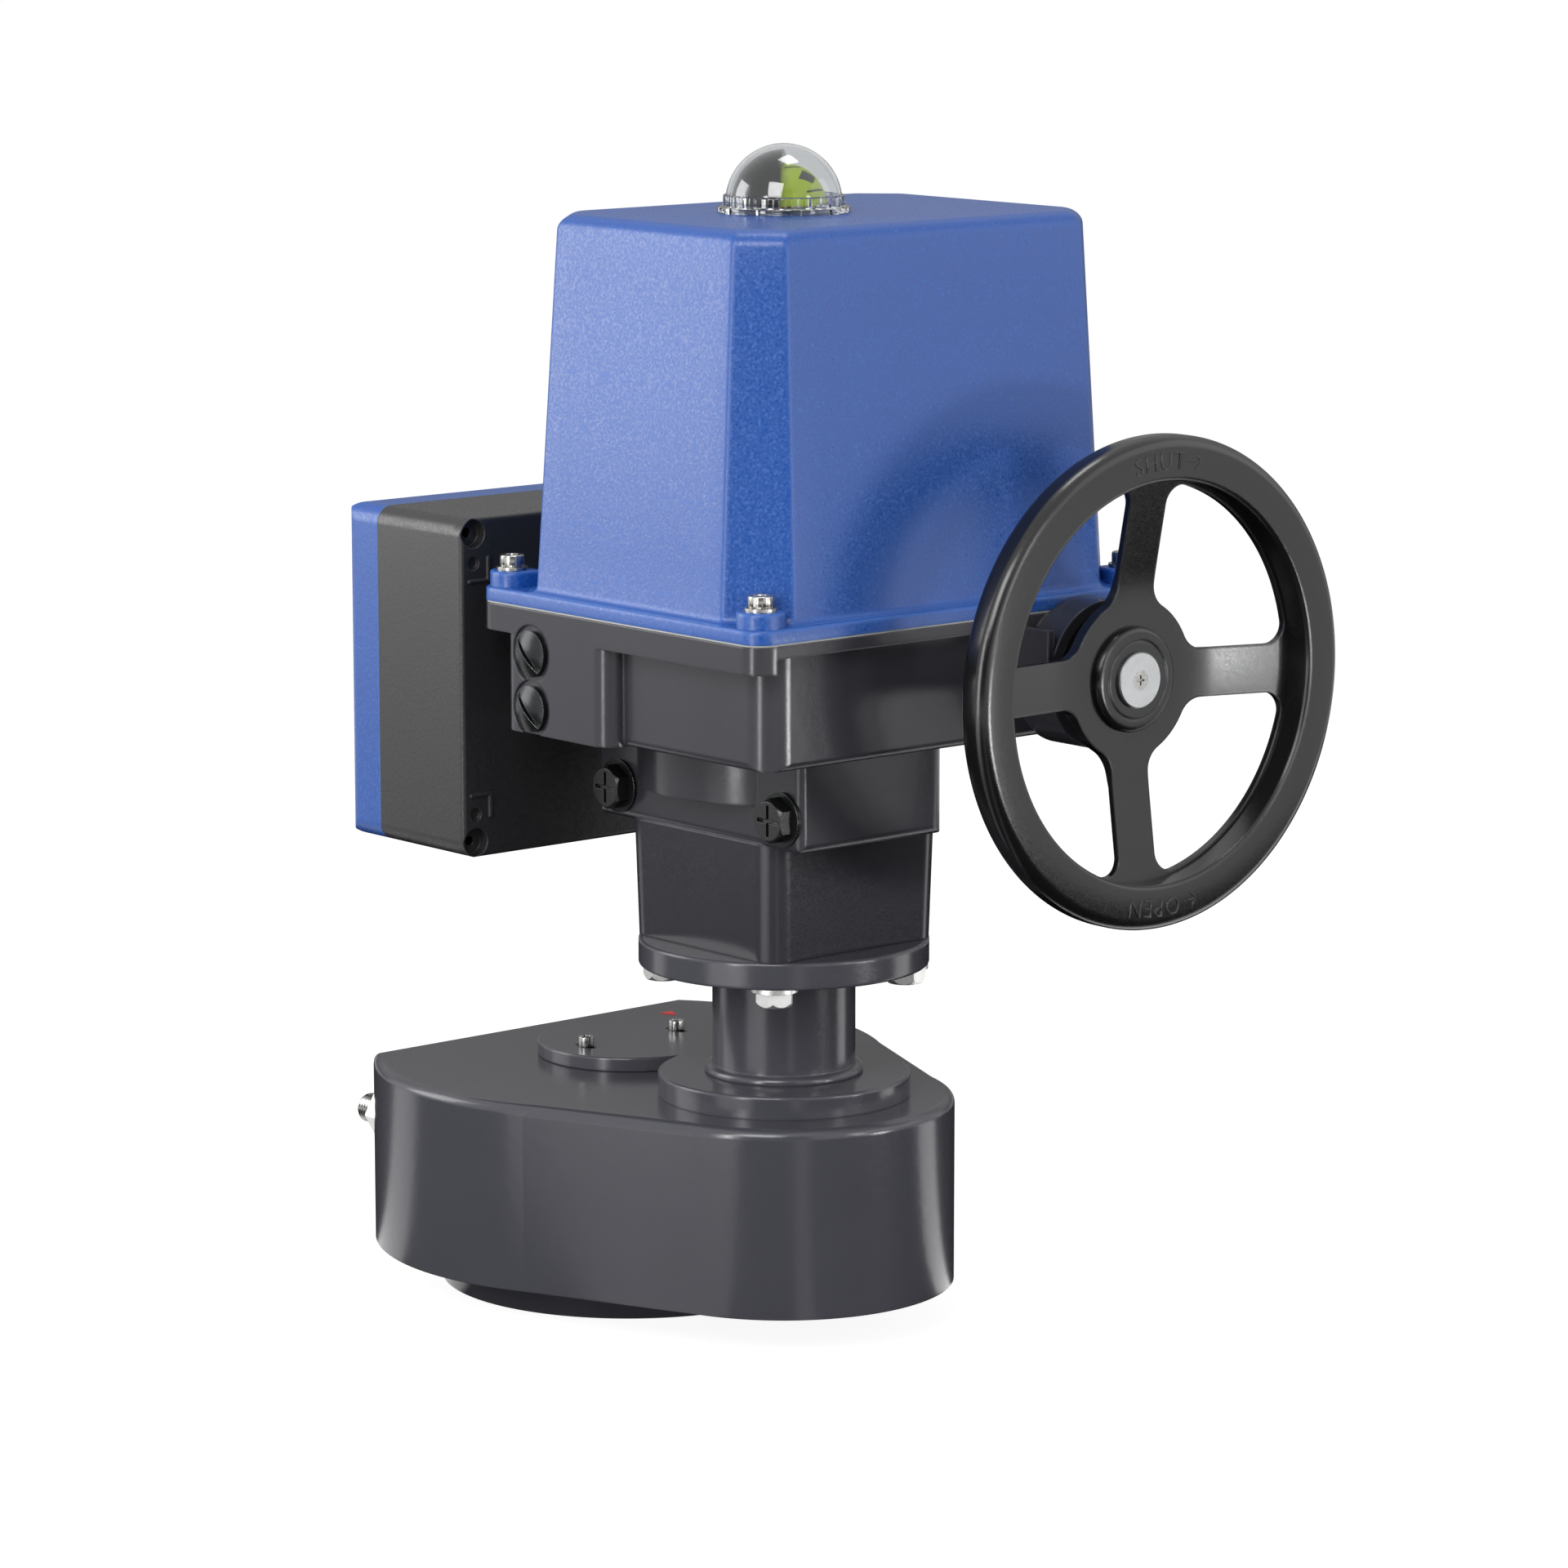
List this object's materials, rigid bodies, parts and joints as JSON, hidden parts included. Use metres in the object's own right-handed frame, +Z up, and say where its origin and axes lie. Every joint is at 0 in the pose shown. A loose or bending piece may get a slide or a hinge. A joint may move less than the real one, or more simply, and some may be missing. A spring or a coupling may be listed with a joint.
{
  "type": "electric valve actuator",
  "caption": "Electric valve actuator with handwheel, blue hood with dome indicator, battery unit and a spur gearbox with output flange.",
  "frame": {"origin": "centre of the output flange face, on the axis of the valve stem", "axes": "+Z up along the valve stem, away from the valve; -Y towards the handwheel; +X to the right seen from the handwheel side"},
  "size_m": [0.3642, 0.414, 0.6088],
  "materials": {
    "grey_paint": "dark grey coat",
    "grey_gloss": "glossy dark grey coat",
    "blue_coat": "fine textured powder coat",
    "black_wheel": "satin black coat",
    "zinc": "zinc plated",
    "stainless": "bright",
    "black_hex": "black oxide",
    "gear_steel": "machined",
    "bronze": "machined",
    "seal_rubber": "smooth",
    "gasket": "smooth",
    "clear_dome": "clear",
    "drum_black": "satin",
    "drum_yellow": "bright",
    "red_mark": "printed",
    "aluminium_part": "milled",
    "board_green": "solder mask",
    "black_plastic": "moulded",
    "motor_zinc": "zinc plated",
    "cell_wrap": "shrink wrap"
  },
  "bodies": {
    "frame": {"output_flange": "grey_paint", "output_bushes": "bronze", "gearbox_base": "grey_paint", "gearbox_housing": "grey_gloss", "pinion_bushes": "bronze", "stop_screws": "zinc", "stop_nuts": "zinc", "position_mark": "red_mark", "column_foot": "grey_gloss", "mounting_column": "grey_gloss", "column_flange": "grey_gloss", "column_bolts": "stainless", "main_bearings": "gear_steel", "actuator_housing": "grey_paint", "hex_plugs": "black_hex", "hex_plug_washers": "zinc", "cable_plugs": "stainless", "hand_shaft_bush": "bronze", "hand_shaft_seal": "seal_rubber", "worm_bushes": "bronze", "chassis_plate": "aluminium_part", "motor_bracket": "aluminium_part", "motor_stator": "motor_zinc", "indicator_bridge": "aluminium_part", "control_board": "board_green", "terminal_block": "black_plastic", "transformer": "black_plastic", "cover_seal": "gasket", "top_cover": "blue_coat", "cover_screws": "stainless", "cover_washers": "zinc", "dome_window": "clear_dome", "battery_neck": "grey_paint", "battery_box": "grey_paint", "battery_lid": "blue_coat", "battery_cells": "cell_wrap", "charger_board": "board_green"},
    "output": {"gear_sector": "gear_steel", "output_sleeve": "gear_steel", "position_disc": "grey_gloss", "disc_screws": "stainless"},
    "drive": {"pinion_shaft": "gear_steel", "drive_sleeve": "gear_steel", "worm_wheel": "bronze", "indicator_drive_gear": "bronze"},
    "worm": {"worm_shaft": "gear_steel", "worm_gear": "gear_steel"},
    "idler": {"motor_idler": "gear_steel"},
    "rotor": {"motor_rotor": "gear_steel", "motor_gear": "gear_steel"},
    "double_gear": {"indicator_idler": "bronze"},
    "indicator": {"indicator_spindle": "bronze", "indicator_drum": "drum_black", "indicator_flag": "drum_yellow"},
    "handwheel": {"handwheel": "black_wheel", "hand_shaft": "gear_steel", "end_washer": "stainless", "end_screw": "stainless"}
  },
  "joints": [
    {"name": "valve_turn", "type": "hinge", "parent": "frame", "child": "output", "pos_m": [0, 0, 0.083], "axis": [0, 0, 1], "range_deg": [0, 90]},
    {"name": "drive_turn", "type": "hinge", "parent": "frame", "child": "drive", "pos_m": [0, -0.125, 0.3433], "axis": [0, 0, 1], "range_deg": [-360, 0]},
    {"name": "worm_turn", "type": "hinge", "parent": "frame", "child": "worm", "pos_m": [0.1017, -0.125, 0.3433], "axis": [0, 1, 0], "range_deg": [0, 12240]},
    {"name": "idler_turn", "type": "hinge", "parent": "frame", "child": "idler", "pos_m": [0.07431, -0.054, 0.38513], "axis": [0, 1, 0], "range_deg": [-8160, 0]},
    {"name": "rotor_turn", "type": "hinge", "parent": "frame", "child": "rotor", "pos_m": [0.088, -0.054, 0.428], "axis": [0, 1, 0], "range_deg": [0, 16320]},
    {"name": "double_gear_turn", "type": "hinge", "parent": "frame", "child": "double_gear", "pos_m": [-0.03, -0.125, 0.395], "axis": [0, 0, 1], "range_deg": [0, 180]},
    {"name": "indicator_turn", "type": "hinge", "parent": "frame", "child": "indicator", "pos_m": [0, -0.125, 0.403], "axis": [0, 0, 1], "range_deg": [-90, 0]},
    {"name": "hand_turn", "type": "hinge", "parent": "frame", "child": "handwheel", "pos_m": [0.1017, -0.29, 0.3433], "axis": [0, 1, 0], "continuous": true}
  ],
  "couplings": [
    {"joint": "drive_turn", "follows": "valve_turn", "ratio": -4},
    {"joint": "worm_turn", "follows": "valve_turn", "ratio": 136},
    {"joint": "idler_turn", "follows": "valve_turn", "ratio": -90.667},
    {"joint": "rotor_turn", "follows": "valve_turn", "ratio": 181.33},
    {"joint": "double_gear_turn", "follows": "valve_turn", "ratio": 2},
    {"joint": "indicator_turn", "follows": "valve_turn", "ratio": -1}
  ]
}
